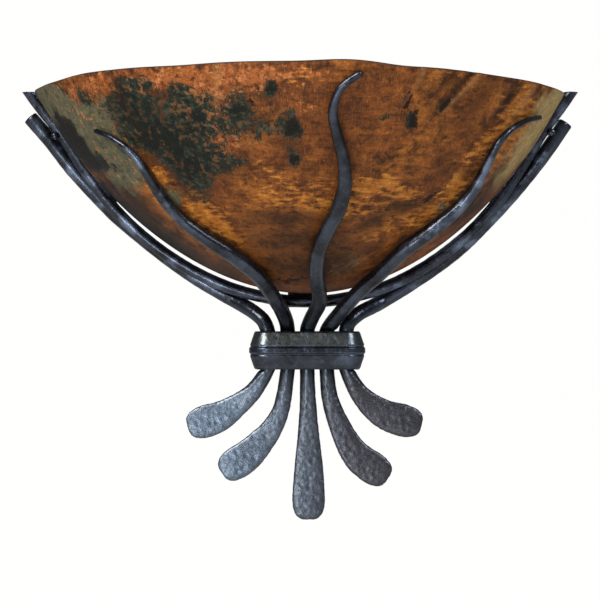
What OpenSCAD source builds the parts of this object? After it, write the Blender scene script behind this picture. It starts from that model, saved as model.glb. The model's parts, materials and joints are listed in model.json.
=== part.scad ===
// Wrought iron wall sconce with a half-bowl shade.
// +Z is up, the front faces -Y, and the wall is the plane y = 0.
// The origin is the centre of the mounting strap's slots, on the wall.
// Depth means the distance out from the wall, so a depth d lies at y = -d.

/* [Shade] */
// Radius of the half bowl at its rim, outside
shade_r = 216.5; // [195:0.5:236]
// Height of the half bowl from its lowest point to its rim
shade_h = 165.8; // [155:0.1:180]
// Height of the half bowl's lowest point above the slots' centre
shade_low_z = -85.8; // [-92:0.1:-80]
// Sheet thickness
shade_wall = 1.6; // [1:0.1:2.5]
// Share of the height that the steeper wall near the rim takes
shade_crown = 0.095; // [0:0.005:0.15]
// How far the right side bulges out and the left side in, halfway up the hand-formed bowl
shade_skew = 2.3; // [0:0.1:4]

/* [Iron bars] */
// Diameter of the five forged bars
bar_d = 12.7; // [11:0.1:13.5]
// Diameter of the back hoop's bar
hoop_d = 10.5; // [9:0.1:12]
// Gap between the outer arms and the wall
wall_gap = 1; // [0.5:0.1:2]
// Thickness of the centre finger at its tip
centre_tip_d = 5.8; // [4:0.1:9]
// Thickness of the left and right fingers at their tips
side_tip_d = 4.8; // [3.5:0.1:8]
// Drop below its tip at which a finger reaches the full bar diameter
taper_drop = 90; // [60:1:100]

/* [Collar and paddles] */
// Sideways place of the middle bar in the collar
row_x = 5.8; // [0:0.1:10]
// Distance between neighbouring bars in the collar
row_pitch = 15.9; // [14.5:0.1:18]
// Depth of the bars' centres in the collar
row_depth = 26; // [25:0.5:34]
// Height of the collar's top edge
collar_top = -116; // [-122:0.1:-114]
// Height of the collar
collar_h = 31.5; // [28:0.5:40]
// Collar thickness at its top and bottom edges
collar_edge = 4.8; // [3:0.1:6]
// Collar thickness at its middle bead
collar_ridge = 9; // [6.5:0.1:10]
// Width of a paddle near its end
paddle_w = 27.5; // [20:0.5:30]
// Thickness of a paddle
paddle_t = 5; // [4:0.1:7]
// Length of a paddle's rounded end
paddle_round = 16; // [9:0.5:18]

/* [Wall fixing] */
// Width of the wall pan
pan_w = 110; // [104:1:118]
// Height of the wall pan
pan_h = 100; // [90:1:104]
// Depth of the wall pan
pan_depth = 24; // [20:0.5:28]
// Sheet thickness of the wall pan
pan_wall = 1.2; // [0.8:0.1:2]
// Distance between the strap's two slots
slot_spacing = 88.9; // [80:0.1:90]
// Width of a slot
slot_w = 4.6; // [4:0.1:6]
// Length of a slot, end to end
slot_length = 12; // [8:0.5:14]
// Distance between the two studs that hold the pan
stud_spacing = 50.8; // [44:0.1:56]
// Diameter of a stud
stud_d = 4.16; // [3.5:0.01:5]
// Thickness of the mounting strap
strap_t = 2; // [1.5:0.1:3]
// Height of the mounting strap
strap_w = 19; // [15:0.5:24]
// Height of the flat bars that tie the frame to the pan
tie_h = 20; // [16:0.5:26]
// Thickness of those flat bars
tie_t = 5; // [3:0.1:6]
// Depth at which those flat bars start
tie_depth = 3; // [1:0.1:3.5]

/* [Lamps] */
// Tilt of each lamp outwards from upright
lamp_tilt = 50; // [45:1:55]
// Depth of the lamps' axes
lamp_depth = 76; // [70:1:86]
// Height of the lamp bracket's peak
peak_z = 10; // [5:0.5:14]
// Distance from the bracket's peak to a lampholder's axis, along the slope
holder_along = 28; // [27:0.5:31]
// Thickness of the lamp bracket
bracket_t = 2.5; // [2:0.1:3]
// Width of the lamp bracket
bracket_w = 26; // [22:0.5:32]
// Outside radius of a lampholder
holder_r = 19.5; // [18:0.1:20.5]
// Length of a lampholder
holder_h = 40; // [36:0.5:44]
// Thickness of a lampholder's floor
holder_floor = 8; // [7:0.1:10]
// Outside radius of the lamp cap's thread
cap_r = 13.1; // [12.8:0.01:13.2]
// Radius of the lamp's bulb
bulb_r = 30; // [24:0.5:32]
// Length of a lamp from its contact to its top
lamp_length = 108; // [100:1:112]
// Distance that a lamp moves in one turn
thread_pitch = 3.629; // [3.5:0.001:3.7]

/* [Fits] */
// Gap between pieces that rest against each other
seat_gap = 0.3; // [0.2:0.05:0.5]
// Gap round a screw, stud or nipple in its hole
thread_gap = 0.05; // [0.03:0.01:0.1]
// Gap between a lamp cap and its screw shell
cap_gap = 0.35; // [0.3:0.05:0.6]

/* [Hidden] */
$fn = 48;

// Colours
iron = [0.16, 0.16, 0.17];
copper = [0.56, 0.32, 0.16];
steel = [0.62, 0.62, 0.64];
brass = [0.78, 0.62, 0.32];
phenolic = [0.1, 0.1, 0.1];
frosted = [0.93, 0.93, 0.9, 0.6];
clear_glass = [0.85, 0.9, 0.92, 0.5];
tungsten = [0.4, 0.4, 0.42];
wire_black = [0.08, 0.08, 0.08];
wire_nut_tan = [0.75, 0.55, 0.3];
ground_green = [0.1, 0.45, 0.2];

// Sides of a swept bar, and steps between two of its guide points
bar_sides = 16;
guide_steps = 4;
// Rows and columns of the shade's sheet
shade_rows = 12;
shade_columns = 44;
// The rim of the hand-formed sheet lies this much below the full height, by azimuth
rim_dips = [[-90, 2], [-80, 3.8], [-72, 4.4], [-60, 4], [-50, 2.1], [-35, 2], [-24, 2.6], [-14, 1.4], [0, 1.4],
    [10, -0.6], [15, 1.2], [20, 3.4], [30, 3.6], [44, 5.6], [57, 6], [65, 6.6], [74, 6.2], [82, 5.4], [90, 3]];

// Guide points of each finger on the bowl: azimuth to the right, and share of the bowl's height
left_guides = [[-53.6, 0.739], [-49.4, 0.707], [-45.1, 0.645], [-43.5, 0.559], [-43.1, 0.427], [-40.7, 0.323],
    [-35.5, 0.242], [-29.5, 0.167], [-25, 0.082], [-26.5, 0.03]];
centre_guides = [[11.5, 0.94], [8, 0.878], [6.8, 0.78], [8.3, 0.68], [10.2, 0.588], [11.7, 0.47], [11, 0.362],
    [9.3, 0.291], [7.5, 0.205], [7.4, 0.14], [8.9, 0.085], [11.9, 0.04]];
right_guides = [[66.3, 0.82], [60, 0.795], [54.5, 0.736], [52.6, 0.65], [54, 0.52], [53.6, 0.406],
    [48.9, 0.288], [44.5, 0.2], [44.8, 0.12], [48.2, 0.05]];
// Guide points of each finger below the bowl: offset from its place in the collar, depth, height above it
left_drop = [[-9, 60, 24], [-5, 47, 17.5], [-1, 33, 7.5]];
centre_drop = [[9.4, 78, 30.5], [9.3, 63, 21.5], [4.6, 46, 12.4], [1.3, 32.5, 5]];
right_drop = [[22, 61, 28], [13, 47, 17.5], [5.4, 34, 8]];
// Guide points of the outer arms: share of the rim radius, and distance of the bar's centre from the bowl
left_arm_guides = [[0.963, 14.1], [0.902, 10.1], [0.832, 9.5], [0.763, 8.7], [0.682, 8.7], [0.602, 8.1],
    [0.522, 8.6], [0.431, 9.8], [0.351, 11.5], [0.26, 14.1], [0.17, 18.8], [0.122, 24.7]];
right_arm_guides = [[0.951, 12.6], [0.882, 10.9], [0.793, 9.9], [0.703, 9.6], [0.602, 10.8], [0.512, 11.8],
    [0.421, 12.7], [0.341, 14.7], [0.261, 17.9], [0.2, 20.6], [0.157, 26.3]];
// Guide points of the back hoop, from its ends down to the middle, in the same terms
hoop_guides = [[1.018, 5.6], [0.971, 2.6], [0.912, -0.3], [0.823, 1.3], [0.723, 4.6], [0.602, 6.8], [0.451, 7.3],
    [0.3, 7.1], [0.15, 6.5]];
// The rivets' places in the seam between the hoop and each arm, in the same terms
left_rivet = [0.907, 4.6];
right_rivet = [0.92, 5.9];
// Paddle centre lines from the collar down, as offsets from the bar's place in the collar
paddle_lines = [
    [[-11.8, -17.5], [-26.4, -29.7], [-38.5, -37.5], [-50.3, -41.8]],
    [[-4.3, -29.1], [-12.4, -47], [-21.3, -58.3], [-31.5, -68.8], [-40.4, -75.2]],
    [[0.9, -38.8], [1.3, -73.7], [1.2, -106]],
    [[2.4, -22.6], [10.1, -44.5], [19, -62.4], [27.4, -72.6], [36.9, -79.6]],
    [[7.9, -15.3], [18.4, -27.5], [32.2, -36.9], [46, -41.1]]
];

arm_depth = wall_gap + bar_d / 2;
hoop_depth = arm_depth + bar_d / 2 + seat_gap + hoop_d / 2;
hoop_low = 6.2;
shade_standoff = hoop_depth + hoop_d / 2 + seat_gap;
collar_bottom = collar_top - collar_h;
collar_inner = bar_d / 2 + seat_gap;
rivet_r = 2.2;
rivet_head_r = 3.8;

// Lamp places along its own axis, counted from the bracket's top face
contact_top = holder_floor + 3.2;
lamp_start = contact_top + seat_gap;
tip_length = 5.5;
cap_length = 20;
cap_start = lamp_start + tip_length;
cap_end = cap_start + cap_length;
bulb_centre = lamp_start + lamp_length - bulb_r;
glass_wall = 1;
neck_r = cap_r - 0.9;
shell_inner = cap_r + cap_gap;
shell_wall = 0.5;
nipple_r = 4.85;
nipple_bore = 3.6;
nipple_depth = 6;
locknut_r = 7.5;
locknut_h = 3;
lead_d = 2.8;
lead_spread = 1.6;

// General functions

function unit(v) = v / norm(v);
function mix(a, b, t) = a + (b - a) * t;
function ease(t) = t <= 0 ? 0 : t >= 1 ? 1 : t * t * (3 - 2 * t);

// Point on the smooth line between b and c
function between(a, b, c, d, t) =
    0.5 * (2 * b + (c - a) * t + (2 * a - 5 * b + 4 * c - d) * t * t + (3 * b - a - 3 * c + d) * t * t * t);

// Smooth line through all guide points
function smooth_line(p, steps) = [
    for (i = [0 : len(p) - 2])
        for (k = [0 : steps - 1])
            between(p[max(i - 1, 0)], p[i], p[i + 1], p[min(i + 2, len(p) - 1)], k / steps),
    p[len(p) - 1]
];

// Direction of a line of points at point i
function direction(p, i) = unit(p[min(i + 1, len(p) - 1)] - p[max(i - 1, 0)]);

// The bowl's outline

function bowl_z(r) =
    shade_low_z + shade_h * ((1 - shade_crown) * pow(r / shade_r, 2) + shade_crown * pow(r / shade_r, 8));
function bowl_slope(r) =
    atan(shade_h / shade_r * (2 * (1 - shade_crown) * r / shade_r + 8 * shade_crown * pow(r / shade_r, 7)));
// Radius and height of a point that lies off the bowl's outer face. The side is -1 on the left, 1 on the right
// and 0 at the front.
function skin(r, off, side) =
    let (
        share = r / shade_r,
        all = off + side * shade_skew * 4 * share * max(0, 1 - share)
    )
    [r + all * sin(bowl_slope(r)), bowl_z(r) - all * cos(bowl_slope(r))];
// Outline radius whose point off the face lies at height z, found by halving
function skin_seed(z, off, side, low, high, n) =
    n == 0 ? (low + high) / 2
    : skin((low + high) / 2, off, side)[1] < z ? skin_seed(z, off, side, (low + high) / 2, high, n - 1)
    : skin_seed(z, off, side, low, (low + high) / 2, n - 1);
function skin_radius(z, off, side) = skin(skin_seed(z, off, side, 0, 1.3 * shade_r, 20), off, side)[0];
function on_bowl(azimuth, z, off) =
    let (r = skin_radius(z, off, sin(azimuth)))
    [r * sin(azimuth), -shade_standoff - r * cos(azimuth), z];
// Point beside the bowl's back edge
function beside(guide, side, depth) =
    let (s = skin(guide[0] * shade_r, guide[1], side))
    [side * s[0], -depth, s[1]];

// Swept bars
// A ring is [centre, direction, half width, half thickness, squareness].
// Half thickness lies towards the front and half width across it.

function squared(c, n) = sign(c) * pow(abs(c), 2 / n);
function ring_points(ring, sides) =
    let (
        along = ring[1],
        front = unit([0, -1, 0] + along[1] * along),
        across = cross(along, front)
    )
    [for (k = [0 : sides - 1])
        let (a = 360 * (k + 0.5) / sides)
        ring[0] + across * ring[2] * squared(cos(a), ring[4]) + front * ring[3] * squared(sin(a), ring[4])];

module sweep(rings, sides) {
    n = len(rings);
    points = [for (ring = rings) each ring_points(ring, sides)];
    walls = [for (i = [0 : n - 2]) for (k = [0 : sides - 1])
        let (a = i * sides + k, b = i * sides + (k + 1) % sides)
        each [[a, b, b + sides], [a, b + sides, a + sides]]];
    first = [for (k = [sides - 1 : -1 : 0]) k];
    last = [for (k = [0 : sides - 1]) (n - 1) * sides + k];
    polyhedron(points, concat([first], walls, [last]), convexity = 8);
}

// Rings of a plain round tube along a line of points
function tube_rings(p, r) = [for (i = [0 : len(p) - 1]) [p[i], direction(p, i), r, r, 2]];

// Fingers, arms and paddles

function bar_place(i) = row_x + (i - 2) * row_pitch;

function finger_radius(z, tip_z, tip_d) =
    mix(tip_d, bar_d, min(1, max(0, (tip_z - z) / taper_drop))) / 2;

// Part of a finger that lies on the bowl, from its tip down
function finger_on_bowl(guides, tip_d) =
    let (tip_z = shade_low_z + shade_h * guides[0][1])
    [for (g = smooth_line(guides, guide_steps))
        let (z = shade_low_z + shade_h * g[1], r = finger_radius(z, tip_z, tip_d))
        [on_bowl(g[0], z, seat_gap + r), r]];

// Part of a finger from the bowl down to the collar, between the last point on the bowl and the collar's top
function finger_drop(before, leave, drop, enter, steps) =
    let (
        below = [for (q = drop) [enter[0] + q[0], -q[1], enter[2] + q[2]]],
        line = smooth_line(concat([before, leave], below, [enter, enter - [0, 0, 8]]), steps)
    )
    [for (k = [steps + 1 : steps * (len(drop) + 2) - 1]) line[k]];

// Rounded tip in front of the first ring
function tip_rings(p, along, r) = [for (a = [80, 50, 25])
    [p - along * r * sin(a), along, r * cos(a), r * cos(a), 2]];

// Paddle with its rounded end, from the collar down
function paddle_rings(i) =
    let (
        top = [bar_place(i), -row_depth, collar_bottom],
        line = smooth_line(
            concat([top], [for (q = paddle_lines[i]) [top[0] + q[0], top[1], top[2] + q[1]]]), 3),
        n = len(line) - 1,
        last_along = direction(line, n)
    )
    concat(
        [for (k = [1 : n])
            let (t = k / n, growth = i == 2 ? pow(ease(t), 1.2) : ease(t))
            [line[k], direction(line, k), mix(bar_d, paddle_w, growth) / 2,
                mix(bar_d, paddle_t, ease(1.7 * t)) / 2, mix(2, 3.4, ease(2 * t))]],
        [for (a = [20, 40, 57, 71, 82])
            [line[n] + last_along * paddle_round * sin(a), last_along,
                paddle_w / 2 * pow(cos(a), 0.6), paddle_t / 2 * pow(cos(a), 0.3), 3.4]]
    );

// Direction of a ring this high above the collar, held so near to upright that the ring stays out of the collar
function above_collar(along, height) =
    let (
        flat = norm([along[0], along[1]]),
        most = max(0, min(1, 0.9 * height / (bar_d / 2)))
    )
    flat <= most ? along : [along[0] * most / flat, along[1] * most / flat, -sqrt(1 - most * most)];

// Straight stretch through the collar
function collar_rings(i) = [for (z = [collar_top, mix(collar_top, collar_bottom, 0.5), collar_bottom])
    [[bar_place(i), -row_depth, z], [0, 0, -1], bar_d / 2, bar_d / 2, 2]];

module finger(i, guides, drop, tip_d) {
    upper = finger_on_bowl(guides, tip_d);
    n = len(upper) - 1;
    points = [for (u = upper) u[0]];
    enter = [bar_place(i), -row_depth, collar_top];
    lower = finger_drop(points[n - guide_steps], points[n], drop, enter, 4);
    line = concat(points, lower);
    radii = concat([for (u = upper) u[1]], [for (p = lower) bar_d / 2]);
    rings = [for (k = [0 : len(line) - 1])
        [line[k], above_collar(direction(line, k), line[k][2] - collar_top), radii[k], radii[k], 2]];
    sweep(concat(tip_rings(line[0], direction(line, 0), radii[0]), rings,
        collar_rings(i), paddle_rings(i)), bar_sides);
}

// Depth of an outer arm: beside the hoop at its top, near the wall lower down, forward again into the collar
function arm_forward(guide_share, away) =
    guide_share > 0.5 ? mix(arm_depth, arm_top_depth, ease((guide_share - 0.78) / 0.12))
    : mix(row_depth, arm_depth, ease(away / come_forward));
arm_top_depth = arm_depth + 5.7;
come_forward = 34;

// Outer arm on the left (side = -1) or the right (side = 1)
module outer_arm(i, side, guides) {
    place = bar_place(i);
    shares = smooth_line(concat(guides, [[0.12, 0]]), 3);
    flat_line = smooth_line(concat([for (g = guides) beside(g, side, 0)], [[place, 0, collar_top]]), 3);
    n = len(flat_line) - 1;
    line = [for (k = [0 : n])
        [flat_line[k][0], -arm_forward(shares[k][0], abs(flat_line[k][0] - place)), flat_line[k][2]]];
    r = bar_d / 2;
    start = line[0] - direction(line, 0) * 0.8;
    rings = [for (k = [0 : n - 1])
        [line[k], above_collar(direction(line, k), line[k][2] - collar_top), r, r, 2]];
    difference() {
        sweep(concat([[start, direction(line, 0), r - 0.8, r - 0.8, 2]], rings,
            collar_rings(i), paddle_rings(i)), bar_sides);
        rivet_shank(side, thread_gap);
    }
}

// Shade

module shade() {
    columns = shade_columns;
    rows = shade_rows;
    azimuths = [for (c = [0 : columns]) -90 + 180 * c / columns];
    rims = [for (a = azimuths)
        skin_seed(shade_low_z + shade_h - lookup(a, rim_dips), 0, 0, 0, 1.3 * shade_r, 20)];
    function sheet_point(c, share, off) =
        let (a = azimuths[c], s = skin(rims[c] * share, off, sin(a)))
        [s[0] * sin(a), -shade_standoff - s[0] * cos(a), s[1]];
    function face_points(off) = [for (c = [0 : columns]) for (k = [1 : rows]) sheet_point(c, k / rows, off)];
    points = concat(
        face_points(0), face_points(-shade_wall),
        [[0, -shade_standoff, shade_low_z], [0, -shade_standoff, shade_low_z + shade_wall]]);
    count = (columns + 1) * rows;
    outer_pole = 2 * count;
    inner_pole = outer_pole + 1;
    function at(side, c, k) = side * count + c * rows + k;
    outer_faces = [for (c = [0 : columns - 1]) for (k = [0 : rows - 2])
        each [[at(0, c, k), at(0, c, k + 1), at(0, c + 1, k + 1)],
            [at(0, c, k), at(0, c + 1, k + 1), at(0, c + 1, k)]]];
    inner_faces = [for (c = [0 : columns - 1]) for (k = [0 : rows - 2])
        each [[at(1, c, k), at(1, c + 1, k + 1), at(1, c, k + 1)],
            [at(1, c, k), at(1, c + 1, k), at(1, c + 1, k + 1)]]];
    floor_faces = [for (c = [0 : columns - 1])
        each [[outer_pole, at(0, c, 0), at(0, c + 1, 0)], [inner_pole, at(1, c + 1, 0), at(1, c, 0)]]];
    rim_faces = [for (c = [0 : columns - 1])
        each [[at(0, c, rows - 1), at(1, c, rows - 1), at(1, c + 1, rows - 1)],
            [at(0, c, rows - 1), at(1, c + 1, rows - 1), at(0, c + 1, rows - 1)]]];
    edge_faces = [for (k = [0 : rows - 2])
        each [[at(0, 0, k), at(1, 0, k), at(1, 0, k + 1)], [at(0, 0, k), at(1, 0, k + 1), at(0, 0, k + 1)],
            [at(0, columns, k), at(1, columns, k + 1), at(1, columns, k)],
            [at(0, columns, k), at(0, columns, k + 1), at(1, columns, k + 1)]]];
    pole_faces = [
        [outer_pole, inner_pole, at(1, 0, 0)], [outer_pole, at(1, 0, 0), at(0, 0, 0)],
        [outer_pole, at(1, columns, 0), inner_pole], [outer_pole, at(0, columns, 0), at(1, columns, 0)]
    ];
    color(copper)
        polyhedron(points, concat(outer_faces, inner_faces, floor_faces, rim_faces, edge_faces, pole_faces),
            convexity = 8);
}

// Back hoop, following the bowl's back edge

module back_hoop() {
    end_z = shade_low_z + shade_h - 1;
    function half(side) = [for (g = hoop_guides) beside(g, side, hoop_depth)];
    left = half(-1);
    right = half(1);
    line = smooth_line(concat(left, [[0, -hoop_depth, shade_low_z - hoop_low]],
        [for (k = [len(right) - 1 : -1 : 0]) right[k]]), 3);
    color(iron)
        difference() {
            sweep(tube_rings(line, hoop_d / 2), 12);
            translate([-2 * shade_r, -2 * hoop_depth, end_z])
                cube([4 * shade_r, 2 * hoop_depth, 4 * hoop_d]);
            rivet_shank(-1, thread_gap);
            rivet_shank(1, thread_gap);
        }
}

module at_rivet(side) {
    place = beside(side < 0 ? left_rivet : right_rivet, side, 0);
    translate(place)
        children();
}

module rivet_shank(side, gap) {
    at_rivet(side)
        translate([0, -wall_gap + 1, 0])
            rotate([90, 0, 0])
                cylinder(h = hoop_depth + hoop_d / 2 + 2, r = rivet_r + gap);
}

module hoop_rivets() {
    front = hoop_depth + hoop_d / 2;
    back = arm_depth;
    color(iron)
        for (side = [-1, 1])
            at_rivet(side) {
                translate([0, -back, 0])
                    rotate([90, 0, 0])
                        cylinder(h = front - back, r = rivet_r);
                translate([0, -front - thread_gap, 0])
                    rotate([90, 0, 0])
                        rotate_extrude()
                            intersection() {
                                translate([0, -3])
                                    circle(r = 5);
                                square([rivet_head_r, 5]);
                            }
            }
}

// Collar round the five bars

module collar() {
    mid = collar_h / 2;
    shoulder = mix(collar_edge, collar_ridge, 0.82);
    groove = collar_ridge - 1.3;
    profile = [
        [collar_inner, 0], [collar_inner + collar_edge - 1.2, 0], [collar_inner + collar_edge, 1.2],
        [collar_inner + shoulder, mid - 4.6], [collar_inner + groove, mid - 3.2],
        [collar_inner + collar_ridge, mid - 2], [collar_inner + collar_ridge, mid + 2],
        [collar_inner + groove, mid + 3.2], [collar_inner + shoulder, mid + 4.6],
        [collar_inner + collar_edge, collar_h - 1.2], [collar_inner + collar_edge - 1.2, collar_h],
        [collar_inner, collar_h]
    ];
    half_row = 2 * row_pitch;
    color(iron)
        translate([row_x, -row_depth, collar_bottom]) {
            for (side = [0, 1])
                rotate([0, 0, 180 * side]) {
                    translate([half_row, 0, 0])
                        rotate([0, 0, -90])
                            rotate_extrude(angle = 180)
                                polygon(profile);
                    translate([half_row, 0, 0])
                        rotate([90, 0, -90])
                            linear_extrude(2 * half_row)
                                polygon(profile);
                }
        }
}

// Frame ties

// Flat shape drawn in x and z, extruded out from the wall
module from_wall(depth, thickness) {
    translate([0, -depth, 0])
        rotate([90, 0, 0])
            linear_extrude(thickness)
                children();
}

// Distance from the bowl at which a cross bar ends against the outer arm
function tie_end(side) =
    lookup(0.73, side < 0 ? left_arm_guides : right_arm_guides) - bar_d / 2 - seat_gap;

module cross_bar(side) {
    color(iron)
        from_wall(tie_depth, tie_t)
            polygon([
                [side * (pan_w / 2 + thread_gap), -tie_h / 2],
                [side * skin_radius(-tie_h / 2, tie_end(side), side), -tie_h / 2],
                [side * skin_radius(tie_h / 2, tie_end(side), side), tie_h / 2],
                [side * (pan_w / 2 + thread_gap), tie_h / 2]
            ]);
}

module back_spine() {
    foot_top = shade_low_z - hoop_low + 2;
    foot_bottom = shade_low_z - hoop_low - hoop_d / 2 + 0.6;
    spine_top = -pan_h / 2 - thread_gap;
    color(iron) {
        translate([-tie_h / 2, -tie_depth - tie_t, foot_bottom])
            cube([tie_h, tie_t, spine_top - foot_bottom]);
        translate([-tie_h / 2, -(hoop_depth - hoop_d / 2 - seat_gap), foot_bottom])
            cube([tie_h, hoop_depth - hoop_d / 2 - seat_gap - tie_depth, foot_top - foot_bottom]);
    }
}

// Wall fixing

module rounded_plate(w, h, r) {
    square([w - 2 * r, h], center = true);
    square([w, h - 2 * r], center = true);
    for (x = [-1, 1])
        for (z = [-1, 1])
            translate([x * (w / 2 - r), z * (h / 2 - r)])
                circle(r = r);
}

module at_studs() {
    for (side = [-1, 1])
        translate([side * stud_spacing / 2, 0])
            children();
}

module wall_pan() {
    corner = 5;
    color(steel)
        difference() {
            from_wall(0, pan_depth)
                rounded_plate(pan_w, pan_h, corner);
            from_wall(-1, pan_depth - pan_wall + 1)
                rounded_plate(pan_w - 2 * pan_wall, pan_h - 2 * pan_wall, corner - pan_wall);
            from_wall(0, pan_depth + 1) {
                at_studs()
                    circle(r = stud_d / 2 + 0.3);
                circle(r = nipple_r + thread_gap);
            }
        }
}

module slot_shape(w, l) {
    square([l - w, w], center = true);
    for (side = [-1, 1])
        translate([side * (l - w) / 2, 0])
            circle(d = w);
}

module mounting_strap() {
    color(steel)
        from_wall(0, strap_t)
            difference() {
                rounded_plate(pan_w - 2 * pan_wall - 2, strap_w, 3);
                for (side = [-1, 1])
                    translate([side * slot_spacing / 2, 0])
                        slot_shape(slot_w, slot_length);
                at_studs()
                    circle(r = stud_d / 2 + thread_gap);
                circle(r = nipple_r + 0.5);
                translate([ground_x, 0])
                    circle(r = ground_r + thread_gap);
            }
}

stud_out = pan_depth + 6;
cap_nut_h = 3.5;
cap_nut_r = 5.2;

module pan_studs() {
    color(steel)
        from_wall(0.2, stud_out - 0.2)
            at_studs()
                circle(d = stud_d);
}

module cap_nuts() {
    color(brass)
        for (side = [-1, 1])
            translate([side * stud_spacing / 2, -pan_depth - thread_gap, 0])
                rotate([90, 0, 0])
                    difference() {
                        union() {
                            cylinder(h = cap_nut_h, r = cap_nut_r, $fn = 6);
                            translate([0, 0, cap_nut_h])
                                intersection() {
                                    sphere(r = cap_nut_r * 0.86);
                                    cylinder(h = cap_nut_r, r = cap_nut_r);
                                }
                        }
                        translate([0, 0, -1])
                            cylinder(h = stud_out - pan_depth + 1.3, r = stud_d / 2 + thread_gap);
                    }
}

ground_x = -14;
ground_r = 2;

module ground_screw() {
    color(ground_green)
        translate([ground_x, 0, 0]) {
            from_wall(0.1, strap_t + 1)
                circle(r = ground_r);
            from_wall(strap_t + thread_gap, 2.6)
                circle(r = 4, $fn = 6);
        }
}

// Lamp bracket: a plate on the pan, a shelf out to the lamps and two sloping wings

plate_depth = pan_depth + locknut_h + 2 * thread_gap;
plate_z = 14;

module lamp_bracket() {
    shelf_z = peak_z - bracket_t;
    color(steel) {
        difference() {
            from_wall(plate_depth, bracket_t)
                translate([-bracket_w / 2, -plate_z])
                    square([bracket_w, plate_z + peak_z]);
            from_wall(plate_depth - 1, bracket_t + 2)
                circle(r = nipple_r + thread_gap);
        }
        translate([-4, -lamp_depth - bracket_w / 2, shelf_z - 0.6])
            cube([8, lamp_depth + bracket_w / 2 - plate_depth, bracket_t]);
        for (side = [-1, 1])
            wing(side);
    }
}

// Everything on a lampholder's axis is drawn upright and then placed by this
module on_wing(side) {
    translate([0, -lamp_depth, peak_z])
        rotate([0, side * lamp_tilt, 0])
            translate([side * holder_along, 0, 0])
                children();
}

module wing(side) {
    reach = holder_along + holder_r * 0.8;
    translate([0, -lamp_depth, peak_z])
        rotate([0, side * lamp_tilt, 0])
            difference() {
                translate([side > 0 ? -0.2 : -reach, -bracket_w / 2, -bracket_t])
                    cube([reach + 0.2, bracket_w, bracket_t]);
                translate([side * holder_along, 0, -bracket_t - 1])
                    cylinder(h = bracket_t + 2, r = nipple_r + thread_gap);
            }
}

nipple_back = pan_depth - pan_wall - locknut_h - 2;
nipple_front = plate_depth + bracket_t + locknut_h + 2;

module bracket_nipple() {
    color(brass)
        from_wall(nipple_back, nipple_front - nipple_back)
            difference() {
                circle(r = nipple_r);
                circle(r = nipple_bore);
            }
}

module nut_shape() {
    difference() {
        circle(r = locknut_r, $fn = 6);
        circle(r = nipple_r + thread_gap);
    }
}

module bracket_locknuts() {
    color(brass) {
        from_wall(pan_depth - pan_wall - locknut_h - thread_gap, locknut_h)
            nut_shape();
        from_wall(pan_depth + thread_gap, locknut_h)
            nut_shape();
        from_wall(plate_depth + bracket_t + thread_gap, locknut_h)
            nut_shape();
    }
}

// Lampholders

module holder(side) {
    bore = shell_inner + shell_wall + seat_gap / 2;
    color(phenolic)
        on_wing(side)
            rotate_extrude()
                polygon([
                    [nipple_r + thread_gap, thread_gap], [holder_r - 3, thread_gap],
                    [holder_r, thread_gap + 3], [holder_r, holder_h - 1.5],
                    [holder_r - 1.5, holder_h], [bore, holder_h],
                    [bore, holder_floor], [1.6, holder_floor],
                    [1.6, nipple_depth + 0.5], [nipple_r + thread_gap, nipple_depth + 0.5]
                ]);
}

module screw_shell(side) {
    color(brass)
        on_wing(side)
            rotate_extrude()
                polygon([
                    [6, holder_floor + thread_gap], [shell_inner + shell_wall, holder_floor + thread_gap],
                    [shell_inner + shell_wall, holder_h - 4], [shell_inner, holder_h - 4],
                    [shell_inner, holder_floor + thread_gap + shell_wall],
                    [6, holder_floor + thread_gap + shell_wall]
                ]);
}

module centre_contact(side) {
    color(brass)
        on_wing(side)
            rotate_extrude()
                polygon([
                    [0, nipple_depth + 0.6], [1.5, nipple_depth + 0.6], [1.5, holder_floor + thread_gap],
                    [4.6, holder_floor + thread_gap], [4.6, holder_floor + 0.8], [2.6, contact_top - 0.6],
                    [2, contact_top], [0, contact_top]
                ]);
}

module holder_nipples() {
    color(brass)
        for (side = [-1, 1])
            on_wing(side)
                translate([0, 0, -bracket_t - locknut_h - 2])
                    difference() {
                        cylinder(h = bracket_t + locknut_h + 2 + nipple_depth, r = nipple_r);
                        translate([0, 0, -1])
                            cylinder(h = bracket_t + locknut_h + 4 + nipple_depth, r = nipple_bore);
                    }
}

module holder_locknuts() {
    color(brass)
        for (side = [-1, 1])
            on_wing(side)
                translate([0, 0, -bracket_t - thread_gap - locknut_h])
                    linear_extrude(locknut_h)
                        nut_shape();
}

// Lamps

module lamp_tip(side) {
    color(tungsten)
        on_wing(side)
            rotate_extrude()
                polygon([
                    [0, lamp_start], [2.5, lamp_start], [4.5, lamp_start + 1.2], [5, lamp_start + 1.8],
                    [cap_r - 2.6, lamp_start + tip_length - thread_gap], [0, lamp_start + tip_length - thread_gap]
                ]);
}

module lamp_cap(side) {
    turns = floor((cap_length - 5) / thread_pitch);
    root_r = cap_r - 0.9;
    thread = [for (k = [0 : turns - 1])
        let (z = cap_start + 1.5 + k * thread_pitch)
        each [[root_r, z], [cap_r, z + 0.3 * thread_pitch], [cap_r, z + 0.5 * thread_pitch],
            [root_r, z + 0.8 * thread_pitch]]];
    color(brass)
        on_wing(side)
            rotate_extrude()
                polygon(concat(
                    [[cap_r - 3.2, cap_start], [root_r - 1.2, cap_start]],
                    thread,
                    [[root_r, cap_end], [root_r - 0.5, cap_end], [root_r - 0.5, cap_start + 1.6],
                        [cap_r - 3.2, cap_start + 0.6]]));
}

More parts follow.
